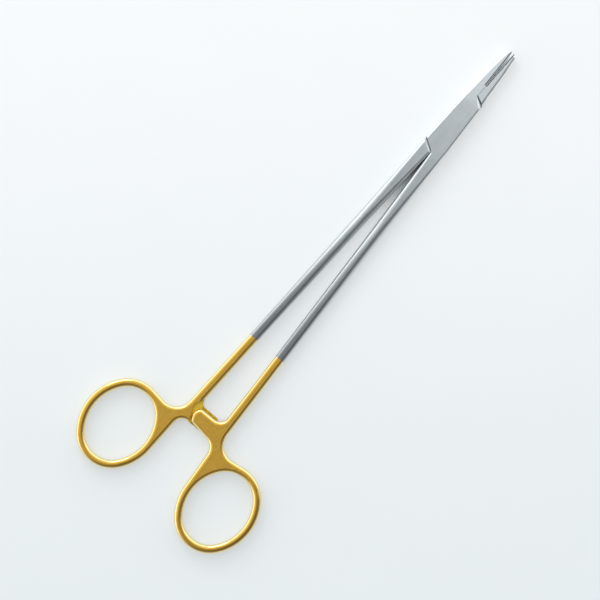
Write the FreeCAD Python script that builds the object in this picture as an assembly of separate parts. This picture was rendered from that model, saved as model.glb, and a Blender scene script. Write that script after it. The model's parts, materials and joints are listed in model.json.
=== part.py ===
import FreeCAD, Part
import math
import os
from FreeCAD import Vector

# A surgical needle holder with a box lock, closed and lying flat. Millimetres.
# +X points to the jaw tips, +Y to the shank of the tongue half, and +Z up. The pivot's axis is Z, and
# the box stands on Z = 0. Shapes are built about the instrument's mid plane and lifted at the end.

# Lengths along the instrument, from the pivot
jaw_reach = 31.4
handle_reach = 151.3
box_handle_setback = 0.9

# Finger rings: the opening is an oval of four arcs that lies along the instrument
ring_offset = 22.1
ring_opening_length = 26.8
ring_opening_width = 21.5
ring_end_radius = 9.3
ring_band = 3.0
handle_thickness = 3.8
handle_rounding = 1.3

# Where the ring, the ratchet arm and the shank join
arm_beyond_ring_centre = 15.8
box_grip_corner_setback = 1.3
box_grip_corner_height = 7.1
box_grip_corner_radius = 4.5
tongue_grip_corner_height = 7.9
tongue_grip_corner_radius = 3.2
neck_inset = 1.2
neck_radius = 6.0
stub_length = 11.5

# Ratchet arms: each half's arm is half the handle's thickness and lies over or under the other's
box_arm_width = 5.5
box_arm_overlap = 5.4
box_arm_root_radius = 3.2
box_arm_setback = -0.4
tongue_arm_width = 7.2
tongue_arm_overlap = 4.2
tongue_arm_root_radius = 2.0
tongue_arm_setback = 0.4
arm_end_slant = 1.0
arm_corner_radius = 1.7
arm_crown_radius = 3.0
arm_clearance = 0.1
pocket_clearance = 0.6
pocket_crown_radius = 2.0
pocket_mouth_run = 3.3

# Ratchet teeth
tooth_pitch = 2.4
tooth_depth = 0.85
tooth_steep_run = 0.35
tooth_count = 3
tooth_land = 0.9

# Shanks, from a round section at the waist to the flat box
shank_root_offset = 6.7
shank_root_width = 3.6
shank_waist_width = 3.4
shank_waist_thickness = 3.4
shank_swell_width = 4.1
shank_swell_thickness = 4.1
shank_waist_rounding = 1.2
shank_swell_rounding = 1.9
shank_waist_place = 0.25
shank_swell_place = 0.72

# Box lock
box_half_length = 12.2
box_width_at_shank = 8.9
box_width_at_jaw = 7.36
box_thickness = 4.8
box_rounding = 0.7
slot_height = 2.2
slot_clearance = 0.03
end_wall_clearance = 0.12
step_lean = 3.3
step_overshoot = 0.5
shoulder_gap = 0.5
shoulder_bevel_run = 0.55
shoulder_bevel_spread = 0.55
shoulder_bevel_depth = 0.3
cheek_bevel_run = 0.35
cheek_bevel_spread = 1.25
cheek_bevel_depth = 0.4
jaw_gap = 0.3
jaw_gap_spread = 0.6
jaw_bevel_run = 0.15
jaw_bevel_spread = 0.4
jaw_bevel_depth = 0.5
parting_clearance = 0.04
pin_diameter = 3.0
pin_clearance = 0.03

# Jaws
jaw_start = 9.5
jaw_waist_reach = 24.0
jaw_waist_width = 5.4
tip_width = 3.8
tip_radius = 1.2
tip_thickness = 2.4
tongue_jaw_root_thickness = 3.9
tongue_jaw_rounding = 1.1
crease_radius = 30.0

# Carbide inserts: they meet at the heel and stand apart at the tip
insert_length = 14.7
insert_wall = 0.55
heel_gap = 0.06
tip_gap = 0.6
serration_count = 36
serration_depth = 0.08

# The step lines' gentle S, as shares of their lean and of their run to the side
step_poles = [(0, 0), (0.33, 0.26), (0.55, 0.6), (1, 1)]

# Worked out from the sizes above
half_box = box_thickness / 2
half_handle = handle_thickness / 2
arm_back = -handle_reach + arm_beyond_ring_centre
stub_end = arm_back + stub_length
shank_front = -box_half_length - shoulder_gap
parting = parting_clearance / 2
margin = 5.0
seam_tolerance = 0.001


def arc_corner(before, corner, after, radius):
    """Start, middle and end of the tangent arc that rounds a corner."""
    towards_before = (before - corner).normalize()
    towards_after = (after - corner).normalize()
    half_angle = towards_before.getAngle(towards_after) / 2
    reach = radius / math.tan(half_angle)
    bisector = (towards_before + towards_after).normalize()
    middle = corner + bisector * (radius / math.sin(half_angle) - radius)
    return corner + towards_before * reach, middle, corner + towards_after * reach


def rounded_path(corners):
    """Edges through corners given as (x, y, radius), with an arc at each radius above 0."""
    points = [Vector(x, y, 0) for x, y, radius in corners]
    edges = []
    last = points[0]
    for i in range(1, len(corners)):
        radius = corners[i][2]
        if radius > 0:
            start, middle, end = arc_corner(points[i - 1], points[i], points[i + 1], radius)
            edges.append(Part.LineSegment(last, start).toShape())
            edges.append(Part.Arc(start, middle, end).toShape())
            last = end
        else:
            edges.append(Part.LineSegment(last, points[i]).toShape())
            last = points[i]
    return edges


def slab(edges, low, high):
    """Solid between two heights over a closed flat outline."""
    outline = Part.Wire(Part.__sortEdges__(edges))
    solid = Part.Face(outline).extrude(Vector(0, 0, high - low))
    solid.translate(Vector(0, 0, low))
    return solid


def flat_turned(shape):
    """The shape turned half round about X, which puts it on the other half and the other level."""
    turned = shape.copy()
    turned.rotate(Vector(0, 0, 0), Vector(1, 0, 0), 180)
    return turned


def flat_mirrored(shape):
    """The shape mirrored in the mid plane."""
    return shape.mirror(Vector(0, 0, 0), Vector(0, 0, 1))


# Handles: ring, ratchet arm and the shank's root. Built for the half at +Y, with its arm on the lower
# level and reaching across the centre line.


def ring_arcs(centre, band):
    """The ring's oval, grown by the band, as arcs: first and last direction, centre and radius."""
    length_radius = ring_opening_length / 2
    width_radius = ring_opening_width / 2
    end = length_radius - ring_end_radius
    side_radius = (end ** 2 + width_radius ** 2 - ring_end_radius ** 2) / (width_radius - ring_end_radius) / 2
    side = side_radius - width_radius
    join = math.atan2(side, end)
    half_turn = math.pi
    return [(-join, join, centre + Vector(end, 0, 0), ring_end_radius + band),
            (join, half_turn - join, centre - Vector(0, side, 0), side_radius + band),
            (half_turn - join, half_turn + join, centre - Vector(end, 0, 0), ring_end_radius + band),
            (half_turn + join, 2 * half_turn - join, centre + Vector(0, side, 0), side_radius + band)]


def ring_edges(centre, band, start, finish):
    """The oval's edges between two directions, anticlockwise and at most once round."""
    edges = []
    for turn in (-2 * math.pi, 0, 2 * math.pi):
        for first, last, middle, radius in ring_arcs(centre, band):
            low = max(first + turn, start)
            high = min(last + turn, finish)
            if high - low > 1e-6:
                circle = Part.Circle(middle, Vector(0, 0, 1), radius)
                edges.append(Part.ArcOfCircle(circle, low, high).toShape())
    return edges


def ring_touch(centre, point, side):
    """Direction and place where a line from the point touches the ring's outside."""
    for first, last, middle, radius in ring_arcs(centre, ring_band):
        away = point - middle
        if away.Length > radius:
            angle = math.atan2(away.y, away.x) + side * math.acos(radius / away.Length)
            angle = first + (angle - first) % (2 * math.pi)
            if angle <= last:
                return angle, middle + Vector(math.cos(angle), math.sin(angle), 0) * radius


def ring_centre(arm):
    return Vector(-handle_reach - arm["handle_setback"], ring_offset, 0)


def arm_sizes(width, overlap, root_radius, setback, handle_setback, grip):
    """One ratchet arm, and what of its handle differs from the other half's."""
    back = arm_back - setback
    return {"back": back, "front": back + width, "overlap": overlap, "root_radius": root_radius,
            "handle_setback": handle_setback, "grip": grip}


def handle_outline(arm):
    centre = ring_centre(arm)
    inner, outer = stub_corners()
    neck_corner = along_shank(outer, arm_back - neck_inset - arm["handle_setback"])
    root_corner = along_shank(inner, arm["front"])
    grip_x, grip_y, grip_radius = arm["grip"]
    neck_angle, neck_touch = ring_touch(centre, neck_corner, 1)
    grip_angle, grip_touch = ring_touch(centre, Vector(grip_x, grip_y, 0), -1)
    crown = (arm["back"] + arm["front"]) / 2
    edges = rounded_path([
        (grip_touch.x, grip_touch.y, 0),
        (grip_x, grip_y, grip_radius),
        (arm["back"], -arm["overlap"] + arm_end_slant, arm_corner_radius),
        (crown, -arm["overlap"], arm_crown_radius),
        (arm["front"], -arm["overlap"] + arm_end_slant, arm_corner_radius),
        (root_corner.x, root_corner.y, arm["root_radius"]),
        (inner.x, inner.y, 0),
        (outer.x, outer.y, 0),
        (neck_corner.x, neck_corner.y, neck_radius),
        (neck_touch.x, neck_touch.y, 0),
    ])
    last = grip_angle if grip_angle > neck_angle else grip_angle + 2 * math.pi
    return edges + ring_edges(centre, ring_band, neck_angle, last)


def shank_line():
    """The shank's centre line, from the handle's stub to the back of the box."""
    box_end_offset = parting / 2 + box_width_at_shank / 4
    return Vector(stub_end, shank_root_offset, 0), Vector(shank_front, box_end_offset, 0)


def shank_direction():
    root, front = shank_line()
    return (front - root).normalize()


def stub_corners():
    """Inner and outer corner of the stub's end, which is square to the shank."""
    direction = shank_direction()
    out = Vector(-direction.y, direction.x, 0) * (shank_root_width / 2)
    root = shank_line()[0]
    return root - out, root + out


def along_shank(point, x):
    """The point at x on a line through another point, parallel to the shank."""
    direction = shank_direction()
    return point + direction * ((x - point.x) / direction.x)


def finger_hole(arm):
    return slab(ring_edges(ring_centre(arm), 0, 0, 2 * math.pi), -half_handle, half_handle)


def ratchet_pocket(facing):
    """Space on the upper level for the end of the facing half's arm, open towards the jaws."""
    top = facing["overlap"] + pocket_clearance
    return slab(rounded_path([
        (facing["back"] - 2 * arm_end_slant, top - 2 * arm_end_slant, 0),
        (facing["front"] - pocket_clearance / 2, top + arm_end_slant, pocket_crown_radius),
        (facing["front"] + pocket_mouth_run, top - arm_end_slant, 0),
        (facing["front"] + pocket_mouth_run, -facing["overlap"] - margin, 0),
        (facing["back"] - 2 * arm_end_slant, -facing["overlap"] - margin, 0),
        (facing["back"] - 2 * arm_end_slant, top - 2 * arm_end_slant, 0),
    ]), -arm_clearance / 2, half_handle + margin)


def tooth_gap(arm, number):
    """One gap of the ratchet, steep on the side that faces the arm's root."""
    tip = -arm["overlap"] + tooth_land + number * tooth_pitch
    level = -arm_clearance / 2
    section = [
        Vector(arm["back"] - margin, tip, level),
        Vector(arm["back"] - margin, tip + tooth_steep_run, level - tooth_depth),
        Vector(arm["back"] - margin, tip + tooth_pitch, level),
    ]
    outline = Part.makePolygon(section + section[:1])
    return Part.Face(outline).extrude(Vector(arm["front"] - arm["back"] + 2 * margin, 0, 0))


def outline_edges(solid, height):
    """Edges of the top and bottom outlines, but for those at the stub's cut end."""
    def kept(edge):
        box = edge.BoundBox
        flat = box.ZLength < 1e-6 and abs(abs(box.ZMin) - height) < 1e-6
        return flat and box.XMin < stub_end - shank_root_width
    return [edge for edge in solid.Edges if kept(edge)]


def handle(arm, facing):
    blank = slab(handle_outline(arm), -half_handle, half_handle).cut(finger_hole(arm))
    blank = blank.makeFillet(handle_rounding, outline_edges(blank, half_handle))
    cutters = [tooth_gap(arm, number) for number in range(tooth_count)]
    return blank.cut([ratchet_pocket(facing)] + cutters)


# Shanks: sections across X, each a rectangle with round corners


def shank_section(place, facing, width, thickness, rounding):
    """Rounded rectangle across the shank, at a place from 0 at the handle to 1 at the box."""
    root, front = shank_line()
    centre = root + (front - root) * place
    across = Vector(-facing.y, facing.x, 0)
    up = Vector(0, 0, 1)
    turns = [(across, up, width, thickness), (up, across * -1, thickness, width),
             (across * -1, up * -1, width, thickness), (up * -1, across, thickness, width)]
    edges = []
    for side, next_side, reach, next_reach in turns:
        pivot = centre + side * (reach / 2 - rounding) + next_side * (next_reach / 2 - rounding)
        start = pivot + side * rounding
        end = pivot + next_side * rounding
        middle = pivot + (side + next_side) * (rounding * math.sqrt(0.5))
        edges.append(Part.Arc(start, middle, end).toShape())
        edges.append(Part.LineSegment(end, end - side * (reach - 2 * rounding)).toShape())
    return Part.Wire(edges)


def shank():
    along = shank_direction()
    square = Vector(1, 0, 0)
    box_width = box_width_at_shank / 2 - parting
    return Part.makeLoft([
        shank_section(0, along, shank_root_width, handle_thickness, handle_rounding),
        shank_section(shank_waist_place, along, shank_waist_width, shank_waist_thickness,
                      shank_waist_rounding),
        shank_section(shank_swell_place, along, shank_swell_width, shank_swell_thickness,
                      shank_swell_rounding),
        shank_section(1, square, box_width, box_thickness, box_rounding),
    ], True, True)


# Box and jaws, closed, as one blank that the two halves are then cut from


def front_blank(jaw_root_thickness, rounding):
    """Both jaws and the box block, with the jaws' flats tapering from the given root thickness."""
    back_width = box_width_at_shank / 2
    side = [
        (-box_half_length + step_lean, back_width, crease_radius),
        (jaw_start, box_width_at_jaw / 2, crease_radius),
        (jaw_waist_reach, jaw_waist_width / 2, crease_radius),
        (jaw_reach, tip_width / 2, tip_radius),
    ]
    lower = [(x, -y, radius) for x, y, radius in side]
    plan = [(shank_front, -back_width, 0)] + lower + side[::-1]
    plan += [(shank_front, back_width, 0), (shank_front, -back_width, 0)]
    body = slab(rounded_path(plan), -half_box, half_box)
    profile = rounded_path([
        (shank_front, jaw_root_thickness / 2, 0),
        (jaw_start, jaw_root_thickness / 2, crease_radius),
        (jaw_reach + margin, tip_thickness / 2 - margin * (jaw_root_thickness - tip_thickness) / 2
         / (jaw_reach - jaw_start), 0),
        (jaw_reach + margin, 0, 0),
        (shank_front, 0, 0),
        (shank_front, jaw_root_thickness / 2, 0),
    ])
    upper = slab(profile, -back_width - margin, back_width + margin)
    upper.rotate(Vector(0, 0, 0), Vector(1, 0, 0), 90)
    body = body.common(upper.fuse(flat_mirrored(upper)).removeSplitter())
    return body.makeFillet(rounding, blank_edges(body))


def blank_edges(body):
    """Long edges between the blank's flats and its sides, tip included."""
    def kept(edge):
        box = edge.BoundBox
        upright = box.ZLength > 1 and box.XLength < 1e-6 and box.YLength < 1e-6
        across = box.XLength < 1e-6 and box.YLength > tip_width
        middle = abs(box.ZMin) < 1e-6 and abs(box.ZMax) < 1e-6
        return not upright and not across and not middle and box.ZMin * box.ZMax > 0
    return [edge for edge in body.Edges if kept(edge)]


def step_edge(end, side, shift, more_lean=0):
    """The slanting line where one half's cheek or tongue ends, from the centre line to the side.

    end is -1 at the shanks and 1 at the jaws, side is -1 or 1, and shift moves it along X."""
    run = box_width_at_shank / 2 + step_overshoot
    lean = step_lean + more_lean
    curve = Part.BezierCurve()
    curve.setPoles([Vector(end * (box_half_length - x * lean) + shift, side * y * run, 0)
                    for x, y in step_poles])
    return curve.toShape()


def joined(curve, points):
    """The curve closed by straight edges through the points."""
    middle = [Vector(x, y, 0) for x, y in points]
    corners = [curve.Vertexes[-1].Point] + middle + [curve.Vertexes[0].Point]
    pairs = [(a, b) for a, b in zip(corners, corners[1:]) if (b - a).Length > 1e-6]
    return [curve] + [Part.LineSegment(a, b).toShape() for a, b in pairs]


def beyond_step(end, side, shift, overlap, more_lean=0):
    """Outline of the ground past a step line, on one side of the centre line."""
    curve = step_edge(end, side, shift, more_lean)
    far = end * (jaw_reach + margin) if end > 0 else shank_front - margin
    outer = curve.Vertexes[-1].Point
    near = curve.Vertexes[0].Point.x
    return joined(curve, [(far, outer.y), (far, -side * overlap), (near, -side * overlap)])


def tongue_ground(clearance):
    """Outline of the tongue between its two end walls."""
    back = step_edge(-1, -1, clearance)
    front = step_edge(1, 1, -clearance)
    points = [back.Vertexes[-1].Point, Vector(jaw_reach, back.Vertexes[-1].Point.y, 0),
              Vector(jaw_reach, -parting, 0), Vector(front.Vertexes[0].Point.x, -parting, 0),
              front.Vertexes[0].Point]
    others = [front.Vertexes[-1].Point, Vector(shank_front, front.Vertexes[-1].Point.y, 0),
              Vector(shank_front, parting, 0), Vector(back.Vertexes[0].Point.x, parting, 0),
              back.Vertexes[0].Point]
    edges = [back, front]
    edges += [Part.LineSegment(a, b).toShape() for a, b in zip(points, points[1:])]
    edges += [Part.LineSegment(a, b).toShape() for a, b in zip(others, others[1:])]
    return edges


def step_bevel(end, side, shift, more_lean, direction, top, sizes):
    """Wedge that breaks the upper edge of a cheek, shoulder or jaw along its step line.

    direction is the way along X in which the wedge's ground lies, and top is the height of the flat
    that it breaks. The sizes are its run at the centre line, what the run gains to the side, and depth."""
    run, spread, depth = sizes
    rise = depth + margin
    high_shift = shift - direction * run * rise / depth
    high_lean = more_lean + direction * end * spread * rise / depth
    low = bevel_outline(end, side, shift, more_lean, direction, top - depth)
    high = bevel_outline(end, side, high_shift, high_lean, direction, top + margin)
    return Part.makeLoft([low, high], True, True)


def bevel_outline(end, side, shift, more_lean, direction, level):
    curve = step_edge(end, side, shift, more_lean)
    start = curve.Vertexes[0].Point
    outer = curve.Vertexes[-1].Point
    far = direction * (jaw_reach + margin)
    edges = joined(curve, [(outer.x + far, outer.y), (start.x + far, start.y)])
    wire = Part.Wire(Part.__sortEdges__(edges))
    wire.translate(Vector(0, 0, level))
    return wire


def pin(radius):
    return Part.makeCylinder(radius, box_thickness, Vector(0, 0, -half_box))


# Inserts: strips along the jaws' inner faces, for the jaw at +Y


def insert_lines():
    """Face and bed of the insert, each from its heel to its tip."""
    heel = jaw_reach - insert_length
    face = (Vector(heel, heel_gap / 2, 0), Vector(jaw_reach, tip_gap / 2, 0))
    bed = (face[0] + Vector(0, insert_wall, 0), face[1] + Vector(0, insert_wall, 0))
    return face, bed


def insert_ground():
    """What the bed takes out of the jaw."""
    face, bed = insert_lines()
    slope = (bed[1] - bed[0]) * (margin / insert_length)
    return slab(rounded_path([
        (bed[0].x, bed[0].y, 0),
        (bed[1].x + slope.x, bed[1].y + slope.y, 0),
        (bed[1].x + slope.x, -margin, 0),
        (bed[0].x, -margin, 0),
        (bed[0].x, bed[0].y, 0),
    ]), -half_box - margin, half_box + margin)


def insert(blank):
    face, bed = insert_lines()
    step = (face[1] - face[0]) * (1 / serration_count)
    depth = Vector(0, serration_depth, 0)
    corners = [bed[0], face[0]]
    for i in range(serration_count):
        corners.append(face[0] + step * (i + 0.5) + depth)
        corners.append(face[0] + step * (i + 1))
    corners += [bed[1], bed[0]]
    strip = Part.Face(Part.makePolygon(corners)).extrude(Vector(0, 0, box_thickness + 2 * margin))
    strip.translate(Vector(0, 0, -half_box - margin))
    return strip.common(blank)


# The two halves


def box_half(blank, own_arm, facing_arm):
    """Shank at -Y, the slotted box across the pivot, and the jaw at +Y."""
    shoulder_ground = slab(beyond_step(-1, 1, 0, parting), -half_box - margin, half_box + margin)
    jaw_ground = slab(beyond_step(1, -1, 0, parting), -half_box - margin, half_box + margin)
    slot = slab(tongue_ground(0), -slot_height / 2, slot_height / 2)
    bevel = step_bevel(1, -1, 0, 0, 1, half_box, (cheek_bevel_run, cheek_bevel_spread, cheek_bevel_depth))
    front = blank.cut([shoulder_ground, jaw_ground, slot, bevel, flat_mirrored(bevel), insert_ground(),
                       pin(pin_diameter / 2)])
    return front.fuse([flat_turned(shank()), flat_turned(handle(own_arm, facing_arm))], seam_tolerance)


def tongue_half(blank, jaw_blank, own_arm, facing_arm):
    """Shank at +Y, the tongue across the pivot, and the jaw at -Y."""
    tall = half_box + margin
    shoulder = blank.common(slab(beyond_step(-1, 1, -shoulder_gap, -parting), -tall, tall))
    jaw_space = slab(beyond_step(1, -1, jaw_gap, -parting, -jaw_gap_spread), -tall, tall)
    jaw_bevel = step_bevel(1, -1, jaw_gap, -jaw_gap_spread, -1, tongue_jaw_root_thickness / 2,
                           (jaw_bevel_run, jaw_bevel_spread, jaw_bevel_depth))
    jaw = jaw_blank.common(jaw_space)
    jaw = jaw.cut([jaw_bevel, flat_mirrored(jaw_bevel), flat_turned(insert_ground())])
    half_tongue = slot_height / 2 - slot_clearance
    tongue = blank.common(slab(tongue_ground(end_wall_clearance), -half_tongue, half_tongue))
    tongue = tongue.cut([pin(pin_diameter / 2 + pin_clearance), jaw_space])
    half = shoulder.fuse([tongue, jaw, shank(), handle(own_arm, facing_arm)], seam_tolerance)
    bevel = step_bevel(-1, 1, -shoulder_gap, 0, 1, half_box,
                       (shoulder_bevel_run, shoulder_bevel_spread, shoulder_bevel_depth))
    return half.cut([bevel, flat_mirrored(bevel)])


def export(name, shape):
    solids = shape.removeSplitter().Solids
    placed = Part.makeCompound(solids) if len(solids) > 1 else solids[0]
    placed.translate(Vector(0, 0, half_box))
    placed.exportStep("parts/" + name + ".step")
    box = placed.BoundBox
    print(name, "solids", len(solids), "valid", placed.isValid(), "volume", round(placed.Volume, 2),
          "x", round(box.XMin, 2), round(box.XMax, 2), "y", round(box.YMin, 2), round(box.YMax, 2),
          "z", round(box.ZMin, 2), round(box.ZMax, 2))


box_grip = (arm_back - box_grip_corner_setback, box_grip_corner_height, box_grip_corner_radius)
tongue_grip = (arm_back - tongue_arm_setback, tongue_grip_corner_height, tongue_grip_corner_radius)
box_arm = arm_sizes(box_arm_width, box_arm_overlap, box_arm_root_radius, box_arm_setback,
                    box_handle_setback, box_grip)
tongue_arm = arm_sizes(tongue_arm_width, tongue_arm_overlap, tongue_arm_root_radius, tongue_arm_setback,
                       0, tongue_grip)
full_blank = front_blank(box_thickness, box_rounding)
low_jaw_blank = front_blank(tongue_jaw_root_thickness, tongue_jaw_rounding)

export("female_half", box_half(full_blank, box_arm, tongue_arm))
export("male_half", tongue_half(full_blank, low_jaw_blank, tongue_arm, box_arm))
export("box_lock_pin", pin(pin_diameter / 2))
export("female_jaw_insert", insert(full_blank))
export("male_jaw_insert", flat_turned(insert(low_jaw_blank)))
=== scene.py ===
import json
import math

import bpy
from mathutils import Matrix, Vector

# A satin steel needle holder with gold plated handles, lying on a pale table and seen from straight
# above. The scene is in metres, and the materials' patterns are laid out in millimetres.

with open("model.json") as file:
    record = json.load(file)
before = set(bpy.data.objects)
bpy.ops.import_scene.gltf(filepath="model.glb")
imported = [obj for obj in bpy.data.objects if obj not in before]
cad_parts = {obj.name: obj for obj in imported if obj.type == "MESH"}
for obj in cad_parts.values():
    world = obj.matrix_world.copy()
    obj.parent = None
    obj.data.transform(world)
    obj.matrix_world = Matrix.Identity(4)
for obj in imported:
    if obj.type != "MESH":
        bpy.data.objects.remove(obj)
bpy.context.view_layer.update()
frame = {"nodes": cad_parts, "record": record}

MM = 0.001
MM_PER_METRE = 1000.0

# Where the picture's frame lies on the table
PICTURE_CENTRE = Vector((-79.67, 1.86, 2.4)) * MM
PICTURE_WIDTH = 204.6 * MM
PICTURE_TURN = math.radians(-50.16)
CAMERA_HEIGHT = 0.9
SENSOR_WIDTH = 36.0
PICTURE_UP = Vector((-math.sin(PICTURE_TURN), math.cos(PICTURE_TURN), 0))

# The table's white towards the picture's foot and head, darker at the foot by painted shade, and how much of
# it shows past its shadows
TABLE_SIZE = 6.0
TABLE_DROP = 0.02 * MM
TABLE_SHADED_FOOT = (0.835, 0.885, 0.905, 1)
TABLE_HEAD = (0.945, 0.975, 0.985, 1)
TABLE_FADE = 0.6 * PICTURE_WIDTH
TABLE_GLOW = 0.52
# Painted shade: the table's white is darkened in gaps narrower than this, down to the gap's tone
NARROW_GAP = 3.5 * MM
PAINTED_GAP_SHADE = 0.12

# The side that the light comes from, and the dark patch overhead that the polished metal shows
BRIGHT_BEARING = math.radians(62)
BRIGHT_SIDE = Vector((math.cos(BRIGHT_BEARING), math.sin(BRIGHT_BEARING), 0))
PATCH_LEAN = math.radians(14)
PATCH_CENTRE = Vector((0, -math.sin(PATCH_LEAN), math.cos(PATCH_LEAN)))
PATCH_INNER = math.radians(12)
PATCH_OUTER = math.radians(20)
PATCH_LEVEL = 0.56

# Light from the dome and from the low walls, on the dark side and on the bright one, and the angles
# from overhead at which the walls begin and at which they are all that is left
DOME_LEVELS = (0.24, 1.12)
WALL_LEVELS = (0.34, 1.6)
WALLS_BEGIN = math.radians(42)
WALLS_FULL = math.radians(62)
SKY_COLOUR = (0.985, 0.995, 1.0, 1)

# Where the plating ends, across the shanks
PLATING_END = -99.6
PLATING_BLUR = 0.16
PLATING_WAVER = 0.25

# The rings' openings and bands
RING_OPENING_LENGTH = 26.8
RING_OPENING_WIDTH = 21.5
RING_BAND = 3.0

# The box lock: the level of its middle, the depth of its inner faces from there, its reach, and the painted
# shade on its inner faces and on the end walls by it
PIN_RADIUS = 1.5
MID_PLANE = 2.4
INNER_FACE_DEPTH = 1.2
LOCK_REACH = 16.0
INNER_PAINTED_SHADE = 0.5
END_WALL_PAINTED_SHADE = 0.22

# The inserts: where their heels are, and the slope of the gripping faces away from the middle
HEEL = 16.7
HEEL_HALF_GAP = 0.03
GRIP_SLOPE = 0.0184
# The width of the painted highlight along the gripping faces
GRIP_HIGHLIGHT_WIDTH = 0.15

# How far from the mid plane the ratchet's teeth and the floors of its pockets lie at most
TOOTH_DEPTH = 0.9

# How far sharp edges look rounded off, on the forgings and on the carbide
STEEL_EDGE = 0.09
CARBIDE_EDGE = 0.03

# The brushing: its lean with the shanks, and the length, fineness and height of its grain and hairs
SHANK_LEAN = 0.0506
GRAIN_STRETCH = 60.0
GRAIN_SCALE = 5.0
HAIR_STRETCH = 220.0
HAIR_SCALE = 14.0
GRAIN_HEIGHT = 0.010
SATIN_RELIEF = 0.55
POLISHED_RELIEF = 0.06
CLOUD_SCALE = 0.22
GRIT_SCALE = 2.2

# How rough each finish is
SATIN_ROUGHNESS = (0.25, 0.37)
EDGE_ROUGHNESS = 0.24
POLISHED_ROUGHNESS = 0.03
POCKET_ROUGHNESS = 0.5
CARBIDE_ROUGHNESS = 0.36

# The cross hatch ground over the carbide
HATCH_PITCH = 0.42
HATCH_HEIGHT = 0.03
HATCH_RELIEF = 0.6
CARBIDE_GRIT_SCALE = 9.0

# Metal colours, linear
STEEL = (0.57, 0.62, 0.645, 1)
# Painted highlights: the paler steel on the rims and the near white on the jaws' edges
RIM_HIGHLIGHT_STEEL = (0.78, 0.82, 0.835, 1)
JAW_EDGE_HIGHLIGHT = (0.95, 0.97, 0.98, 1)
GOLD = (0.75, 0.445, 0.07, 1)
# Painted highlight on the gold's rims
RIM_HIGHLIGHT_GOLD = (0.97, 0.79, 0.39, 1)
# Painted reflected light, a deep yellow in the ratchet's pockets
POCKET_PAINTED_REFLECTION = (1.0, 0.70, 0.08, 1)
CARBIDE = (0.165, 0.205, 0.225, 1)
# Painted highlight along the gripping faces
GRIP_HIGHLIGHT_CARBIDE = (0.92, 0.94, 0.95, 1)

# Painted light and shade: the steel's tone runs along the instrument, from dark at the plating to bright at
# the jaws
PAINTED_SHADE_END = -95.0
PAINTED_SHADE_TONE = 0.46
PAINTED_LIGHT_END = 31.0
PAINTED_LIGHT_TONE = 1.34
JAW_START = 12.5
POLISHED_TONE = 0.97


class Graph:
    """Builds one node tree. A socket takes a plain value or another node's output."""

    def __init__(self, tree):
        self.tree = tree
        tree.nodes.clear()

    def add(self, kind, inputs=None, **settings):
        node = self.tree.nodes.new(kind)
        for key, value in settings.items():
            setattr(node, key, value)
        for key, value in (inputs or {}).items():
            self.put(node.inputs[key], value)
        return node

    def put(self, socket, value):
        if isinstance(value, bpy.types.NodeSocket):
            self.tree.links.new(value, socket)
        else:
            socket.default_value = value

    def calc(self, operation, *values):
        inputs = dict(enumerate(values))
        return self.add("ShaderNodeMath", inputs, operation=operation).outputs[0]

    def calc_vector(self, operation, *values):
        inputs = dict(enumerate(values))
        node = self.add("ShaderNodeVectorMath", inputs, operation=operation)
        return node.outputs["Value" if operation == "DOT_PRODUCT" else "Vector"]

    def line(self, value, gain, offset):
        """The value times the gain, plus the offset."""
        return self.calc("ADD", offset, self.calc("MULTIPLY", value, gain))

    def swing(self, noise, spread):
        """The noise's rise and fall about its middle, over the spread."""
        return self.calc("MULTIPLY", self.calc("SUBTRACT", noise, 0.5), spread)

    def distance(self, u, v):
        """How far the point (u, v) is from the origin."""
        return self.calc("SQRT", self.calc("ADD", self.calc("MULTIPLY", u, u), self.calc("MULTIPLY", v, v)))

    def ramp(self, value, low, high, out_low=0.0, out_high=1.0, easing="LINEAR"):
        """A straight ramp of the value from low to high."""
        inputs = {"Value": value, "From Min": low, "From Max": high, "To Min": out_low, "To Max": out_high}
        return self.add("ShaderNodeMapRange", inputs, interpolation_type=easing).outputs["Result"]

    def step(self, value, low, high, out_low=0.0, out_high=1.0):
        """The same ramp, eased at both ends."""
        return self.ramp(value, low, high, out_low, out_high, "SMOOTHSTEP")

    def mix(self, share, first, second):
        inputs = {"Factor": share, 2: first, 3: second}
        return self.add("ShaderNodeMix", inputs, data_type="FLOAT").outputs[0]

    def mix_colour(self, share, first, second):
        inputs = {"Factor": share, 6: first, 7: second}
        return self.add("ShaderNodeMix", inputs, data_type="RGBA").outputs[2]

    def toned(self, colour, tone):
        """The colour made lighter or darker, but never past white."""
        shade = self.add("ShaderNodeCombineColor", {0: tone, 1: tone, 2: tone}).outputs[0]
        return self.add("ShaderNodeMix", {"Factor": 1.0, 6: colour, 7: shade}, data_type="RGBA",
                        blend_type="MULTIPLY", clamp_result=True).outputs[2]

    def noise(self, place, scale, detail=2.0, roughness=0.5):
        inputs = {"Vector": place, "Scale": scale, "Detail": detail, "Roughness": roughness}
        return self.add("ShaderNodeTexNoise", inputs).outputs["Fac"]


def new_material(name):
    material = bpy.data.materials.new(name)
    material.use_nodes = True
    return material, Graph(material.node_tree)


def millimetres(g):
    """The piece's own coordinates in millimetres, whole and split."""
    place = g.add("ShaderNodeTexCoord").outputs["Object"]
    scaled = g.calc_vector("MULTIPLY", place, (MM_PER_METRE, MM_PER_METRE, MM_PER_METRE))
    split = g.add("ShaderNodeSeparateXYZ", {0: scaled})
    return scaled, split.outputs[0], split.outputs[1], split.outputs[2]


def own_normal(g):
    """How far the surface faces along each of the piece's own axes, either way."""
    normal = g.add("ShaderNodeNewGeometry").outputs["Normal"]
    turned = g.add("ShaderNodeVectorTransform", {"Vector": normal}, vector_type="NORMAL",
                   convert_from="WORLD", convert_to="OBJECT").outputs[0]
    return g.add("ShaderNodeSeparateXYZ", {0: g.calc_vector("ABSOLUTE", turned)}).outputs


# Metal surfaces


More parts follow.
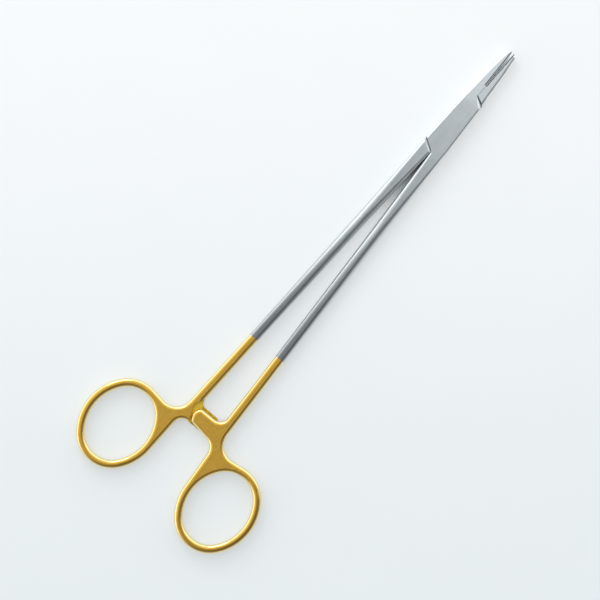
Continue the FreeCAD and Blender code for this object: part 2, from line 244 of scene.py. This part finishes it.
def softened_normal(g, x, y, radius):
    """The normal with sharp edges rounded a little, but not at the pin, which is ground flush."""
    reach = g.step(g.distance(x, y), PIN_RADIUS + 0.2, PIN_RADIUS + 0.6, 0.0, radius)
    return g.add("ShaderNodeBevel", {"Radius": reach}, samples=6).outputs[0]


def brushed_place(g, x, y, z, stretch):
    """Coordinates for grain that runs along the instrument, following the shanks' slight lean."""
    across = g.calc("ADD", g.calc("ABSOLUTE", y), g.calc("MULTIPLY", x, SHANK_LEAN))
    along = g.calc("DIVIDE", x, stretch)
    return g.add("ShaderNodeCombineXYZ", {0: along, 1: across, 2: z}).outputs[0]


def ring_polish(g, x, y):
    """One on the finger rings' free bands, and zero where they join the handles."""
    mounts = {mount["name"]: mount["pos_m"] for mount in frame["record"]["mounts"]}
    shares = []
    for name, side in (("upper_ring", 1), ("lower_ring", -1)):
        centre = Vector(mounts[name]) * MM_PER_METRE
        u = g.calc("DIVIDE", g.calc("SUBTRACT", x, centre.x), RING_OPENING_LENGTH / 2 + RING_BAND)
        v = g.calc("DIVIDE", g.calc("SUBTRACT", y, centre.y), RING_OPENING_WIDTH / 2 + RING_BAND)
        distance = g.distance(u, v)
        towards_join = g.calc("MULTIPLY", g.calc("SUBTRACT", u, g.calc("MULTIPLY", v, side)), math.sqrt(0.5))
        free = g.step(g.calc("DIVIDE", towards_join, distance), 0.25, 0.60, 1.0, 0.0)
        shares.append(g.calc("MULTIPLY", free, g.step(distance, 0.98, 1.06, 1.0, 0.0)))
    return g.calc("MAXIMUM", *shares)


def edge_share(g, soft_normal):
    """How near a sharp edge a point is, from the turn of the softened normal."""
    true_normal = g.add("ShaderNodeNewGeometry").outputs["True Normal"]
    facing = g.calc_vector("DOT_PRODUCT", soft_normal, true_normal)
    return g.step(facing, 0.80, 0.995, 1.0, 0.0)


def across_grain(g, normal):
    """Direction on the surface that is square to the brushing, in the world's space."""
    along = g.add("ShaderNodeVectorTransform", {"Vector": (1, 0, 0)}, vector_type="VECTOR",
                  convert_from="OBJECT", convert_to="WORLD").outputs[0]
    return g.calc_vector("CROSS_PRODUCT", normal, along)


def off_middle(g, z):
    """Height above or depth below the mid plane."""
    return g.calc("ABSOLUTE", g.calc("SUBTRACT", z, MID_PLANE))


def painted_lock_shade(g, x, z, facing):
    """Painted shade: dark on the faces inside the box lock and on the upright end walls by it."""
    near = g.step(g.calc("ABSOLUTE", x), LOCK_REACH - 1.0, LOCK_REACH, 1.0, 0.0)
    inside = g.step(off_middle(g, z), INNER_FACE_DEPTH, INNER_FACE_DEPTH + 0.1, 1.0, 0.0)
    inside = g.calc("MULTIPLY", inside, g.step(facing[2], 0.5, 0.7))
    end_wall = g.calc("MULTIPLY", g.step(facing[0], 0.35, 0.45), g.step(facing[2], 0.2, 0.35, 1.0, 0.0))
    tone = g.calc("MULTIPLY", g.mix(inside, 1.0, INNER_PAINTED_SHADE), g.mix(end_wall, 1.0, END_WALL_PAINTED_SHADE))
    return g.mix(near, 1.0, tone)


def ratchet_floor(g, x, z, facing):
    """One on the ratchet's teeth and pocket floors, which lie near the mid plane."""
    level = g.step(off_middle(g, z), TOOTH_DEPTH, TOOTH_DEPTH + 0.1, 1.0, 0.0)
    flat = g.step(facing[2], 0.3, 0.5)
    behind = g.step(x, PLATING_END - 2.0, PLATING_END - 1.0, 1.0, 0.0)
    return g.calc("MULTIPLY", behind, g.calc("MULTIPLY", level, flat))


def plating(g, place, x):
    """One on the plated handles and zero past the plating's slightly wavering end."""
    border = g.calc("ADD", x, g.swing(g.noise(place, 1.4), PLATING_WAVER))
    return g.step(border, PLATING_END - PLATING_BLUR, PLATING_END + PLATING_BLUR, 1.0, 0.0)


def steel_colour(g, x, tone, facing):
    """Steel with painted light that brightens it towards the jaws, and a painted highlight that makes it
    paler on its rims and palest on the jaws' edges.
    """
    # Painted highlight on the rims that turn away from overhead, brightest on the jaws
    highlit_rim = g.step(facing[2], 0.80, 0.96, 1.0, 0.0)
    on_jaw = g.step(x, JAW_START, JAW_START + 1.5)
    steel = g.mix_colour(highlit_rim, STEEL, g.mix_colour(on_jaw, RIM_HIGHLIGHT_STEEL, JAW_EDGE_HIGHLIGHT))
    # Painted light and shade along the instrument, milder on the rims
    painted_length_shading = g.ramp(x, PAINTED_SHADE_END, PAINTED_LIGHT_END, PAINTED_SHADE_TONE, PAINTED_LIGHT_TONE)
    painted_length_shading = g.mix(highlit_rim, painted_length_shading, g.calc("SQRT", painted_length_shading))
    return g.toned(steel, g.calc("MULTIPLY", tone, painted_length_shading))


def gold_colour(g, place, tone, facing, polished, pocket):
    """Gold with a painted highlight that makes it paler on its rims, painted reflected light that makes it
    deep yellow in the ratchet, and even where it is polished.
    """
    grit = g.noise(place, GRIT_SCALE, 3.0, 0.6)
    # Painted highlight on the rims that turn away from overhead
    gold = g.mix_colour(g.step(facing[2], 0.80, 0.97, 1.0, 0.0), GOLD, RIM_HIGHLIGHT_GOLD)
    # Painted reflected light: the ratchet's teeth and pocket floors are tinted deep yellow
    gold = g.mix_colour(pocket, gold, POCKET_PAINTED_REFLECTION)
    satin_tone = g.calc("MULTIPLY", tone, g.ramp(grit, 0.3, 0.7, 0.90, 1.12))
    return g.toned(gold, g.mix(polished, satin_tone, POLISHED_TONE))


def metal_surface(g, colour, roughness, height, depth, relief, normal, more=None):
    """A metal whose height pattern is as deep as given in millimetres, shown by the relief's share."""
    bump = g.add("ShaderNodeBump", {"Strength": relief, "Distance": depth * MM, "Height": height,
                                    "Normal": normal}).outputs[0]
    inputs = {"Base Color": colour, "Metallic": 1.0, "Roughness": roughness, "Normal": bump}
    shader = g.add("ShaderNodeBsdfPrincipled", {**inputs, **(more or {})})
    g.add("ShaderNodeOutputMaterial", {"Surface": shader.outputs[0]})


def satin_metal(name, plated):
    """Satin steel, and gold plate beyond the plating's end where the piece is plated."""
    material, g = new_material(name)
    place, x, y, z = millimetres(g)
    facing = own_normal(g)
    soft_normal = softened_normal(g, x, y, STEEL_EDGE * MM)
    grain = g.noise(brushed_place(g, x, y, z, GRAIN_STRETCH), GRAIN_SCALE, 5.0, 0.62)
    hairs = g.noise(brushed_place(g, x, y, z, HAIR_STRETCH), HAIR_SCALE, 2.0, 0.5)
    cloud = g.noise(place, CLOUD_SCALE, 3.0, 0.55)

    roughness = g.calc("ADD", g.ramp(grain, 0.25, 0.75, *SATIN_ROUGHNESS), g.swing(cloud, 0.10))
    roughness = g.mix(edge_share(g, soft_normal), roughness, EDGE_ROUGHNESS)
    tone = g.calc("ADD", g.line(grain, 0.17, 0.86), g.swing(cloud, 0.14))
    # Painted shade inside the box lock and on the end walls by it
    tone = g.calc("MULTIPLY", tone, painted_lock_shade(g, x, z, facing))
    colour = steel_colour(g, x, tone, facing)
    relief = SATIN_RELIEF

    if plated:
        gold = plating(g, place, x)
        pocket = ratchet_floor(g, x, z, facing)
        rounded = g.step(facing[2], 0.975, 0.998, 1.0, 0.0)
        polished = g.calc("MAXIMUM", ring_polish(g, x, y), rounded)
        gold_roughness = g.mix(polished, roughness, g.line(cloud, 0.06, POLISHED_ROUGHNESS))
        roughness = g.mix(gold, roughness, g.mix(pocket, gold_roughness, POCKET_ROUGHNESS))
        colour = g.mix_colour(gold, colour, gold_colour(g, place, tone, facing, polished, pocket))
        relief = g.mix(g.calc("MULTIPLY", gold, polished), SATIN_RELIEF, POLISHED_RELIEF)

    height = g.calc("ADD", g.calc("MULTIPLY", grain, 0.7), g.calc("MULTIPLY", hairs, 0.3))
    brushing = {"Anisotropic": 0.35, "Tangent": across_grain(g, soft_normal)}
    metal_surface(g, colour, roughness, height, GRAIN_HEIGHT, relief, soft_normal, brushing)
    return material


def cross_hatch(g, x, z):
    """The height of two sets of ridges that slant across each other."""
    ridges = []
    for sign in (1, -1):
        slant = g.calc("MULTIPLY", g.calc("ADD", x, g.calc("MULTIPLY", z, sign)), 2 * math.pi / HATCH_PITCH)
        ridges.append(g.calc("ABSOLUTE", g.calc("SINE", slant)))
    return g.calc("MINIMUM", *ridges)


def carbide(name):
    """Dull grey carbide with a fine cross hatch ground over it, and a painted highlight along the gripping
    faces.
    """
    material, g = new_material(name)
    place, x, y, z = millimetres(g)
    soft_normal = g.add("ShaderNodeBevel", {"Radius": CARBIDE_EDGE * MM}, samples=4).outputs[0]
    grit = g.noise(place, CARBIDE_GRIT_SCALE, 4.0, 0.6)
    grip_face = g.line(g.calc("SUBTRACT", x, HEEL), GRIP_SLOPE, HEEL_HALF_GAP)
    from_face = g.calc("SUBTRACT", g.calc("ABSOLUTE", y), grip_face)
    # Painted highlight: near white along the gripping faces
    grip_highlight = g.step(from_face, 0.8 * GRIP_HIGHLIGHT_WIDTH, GRIP_HIGHLIGHT_WIDTH, 1.0, 0.0)
    roughness = g.line(grit, 0.16, CARBIDE_ROUGHNESS)
    colour = g.toned(g.mix_colour(grip_highlight, CARBIDE, GRIP_HIGHLIGHT_CARBIDE), g.line(grit, 0.22, 0.82))
    height = g.calc("ADD", g.calc("MULTIPLY", cross_hatch(g, x, z), 0.8), g.calc("MULTIPLY", grit, 0.2))
    metal_surface(g, colour, roughness, height, HATCH_HEIGHT, HATCH_RELIEF, soft_normal)
    return material


def dress():
    looks = {"steel": satin_metal("satin_steel_and_gold", True),
             "pin_steel": satin_metal("satin_pin_steel", False),
             "carbide": carbide("serrated_carbide")}
    slots = {part["node"]: part["material_slot"] for part in frame["record"]["subparts"]}
    for name, piece in frame["nodes"].items():
        for slot in piece.material_slots:
            slot.material = looks[slots[name]]


# The table, the light and the camera


def matt_white():
    """A white with painted shade, a little darker towards the picture's foot and in narrow gaps, that shows
    past its shadows.
    """
    material, g = new_material("matt_white")
    place = g.add("ShaderNodeTexCoord").outputs["Object"]
    upwards = g.calc_vector("DOT_PRODUCT", place, tuple(PICTURE_UP))
    # Painted shade: the white falls off from the picture's head to its foot
    share = g.step(upwards, -TABLE_FADE, TABLE_FADE)
    mottle = g.noise(place, 40.0, 3.0, 0.5)
    openness = g.add("ShaderNodeAmbientOcclusion", {"Distance": NARROW_GAP}, samples=12).outputs["AO"]
    # Painted shade: darker where the table lies in a narrow gap
    tone = g.calc("MULTIPLY", g.line(mottle, 0.02, 0.99), g.step(openness, 0.04, 0.40, PAINTED_GAP_SHADE, 1.0))
    colour = g.toned(g.mix_colour(share, TABLE_SHADED_FOOT, TABLE_HEAD), tone)
    shader = g.add("ShaderNodeBsdfPrincipled", {
        "Base Color": colour, "Roughness": g.line(mottle, 0.12, 0.72), "Specular IOR Level": 0.2}).outputs[0]
    glow = g.add("ShaderNodeEmission", {"Color": colour}).outputs[0]
    path = g.add("ShaderNodeLightPath").outputs
    mirrored = g.calc("MAXIMUM", path["Is Glossy Ray"], path["Is Transmission Ray"])
    seen = g.calc("MAXIMUM", path["Is Camera Ray"], mirrored)
    glow_share = g.step(openness, 0.10, 0.52, 0.0, TABLE_GLOW)
    mixed = g.add("ShaderNodeMixShader", {0: g.calc("MULTIPLY", seen, glow_share), 1: shader, 2: glow})
    g.add("ShaderNodeOutputMaterial", {"Surface": mixed.outputs[0]})
    return material


def table():
    bpy.ops.mesh.primitive_plane_add(size=TABLE_SIZE,
                                     location=(PICTURE_CENTRE.x, PICTURE_CENTRE.y, -TABLE_DROP))
    top = bpy.context.object
    top.name = "table_top"
    top.data.materials.append(matt_white())


def studio():
    """Bright low walls and a dimmer dome with a dark patch overhead, all brighter on one side."""
    world = bpy.data.worlds.new("studio")
    world.use_nodes = True
    bpy.context.scene.world = world
    g = Graph(world.node_tree)
    direction = g.add("ShaderNodeTexCoord").outputs["Generated"]
    height = g.add("ShaderNodeSeparateXYZ", {0: direction}).outputs[2]
    towards = g.calc_vector("DOT_PRODUCT", direction, tuple(BRIGHT_SIDE))
    near_patch = g.calc_vector("DOT_PRODUCT", direction, tuple(PATCH_CENTRE))
    patch = g.step(near_patch, math.cos(PATCH_OUTER), math.cos(PATCH_INNER), 1.0, PATCH_LEVEL)
    dome = g.calc("MULTIPLY", patch, g.step(towards, -0.45, 0.25, *DOME_LEVELS))
    walls = g.step(towards, -0.7, 0.3, *WALL_LEVELS)
    level = g.mix(g.step(height, math.cos(WALLS_BEGIN), math.cos(WALLS_FULL)), dome, walls)
    lit = g.add("ShaderNodeBackground", {"Color": SKY_COLOUR, "Strength": level}).outputs[0]
    g.add("ShaderNodeOutputWorld", {"Surface": lit})


def soft_box(name, bearing, elevation, distance, size, power):
    """A square lamp aimed at the picture's centre. The bearing is from the picture's up, clockwise."""
    flat = Matrix.Rotation(-math.radians(bearing), 3, "Z") @ PICTURE_UP
    away = flat * math.cos(math.radians(elevation)) + Vector((0, 0, math.sin(math.radians(elevation))))
    data = bpy.data.lights.new(name, "AREA")
    data.shape = "SQUARE"
    data.size = size
    data.energy = power
    lamp = bpy.data.objects.new(name, data)
    lamp.location = PICTURE_CENTRE + away * distance
    lamp.rotation_euler = away.to_track_quat("Z", "Y").to_euler()
    bpy.context.scene.collection.objects.link(lamp)


def camera():
    data = bpy.data.cameras.new("camera")
    data.sensor_width = SENSOR_WIDTH
    data.lens = SENSOR_WIDTH * CAMERA_HEIGHT / PICTURE_WIDTH
    data.clip_start = 0.01
    seer = bpy.data.objects.new("camera", data)
    seer.location = PICTURE_CENTRE + Vector((0, 0, CAMERA_HEIGHT))
    seer.rotation_euler = (0, 0, PICTURE_TURN)
    bpy.context.scene.collection.objects.link(seer)
    bpy.context.scene.camera = seer


dress()
table()
studio()
soft_box("key", bearing=-20, elevation=34, distance=0.8, size=0.42, power=1.2)
camera()
bpy.context.scene.view_settings.view_transform = "Standard"
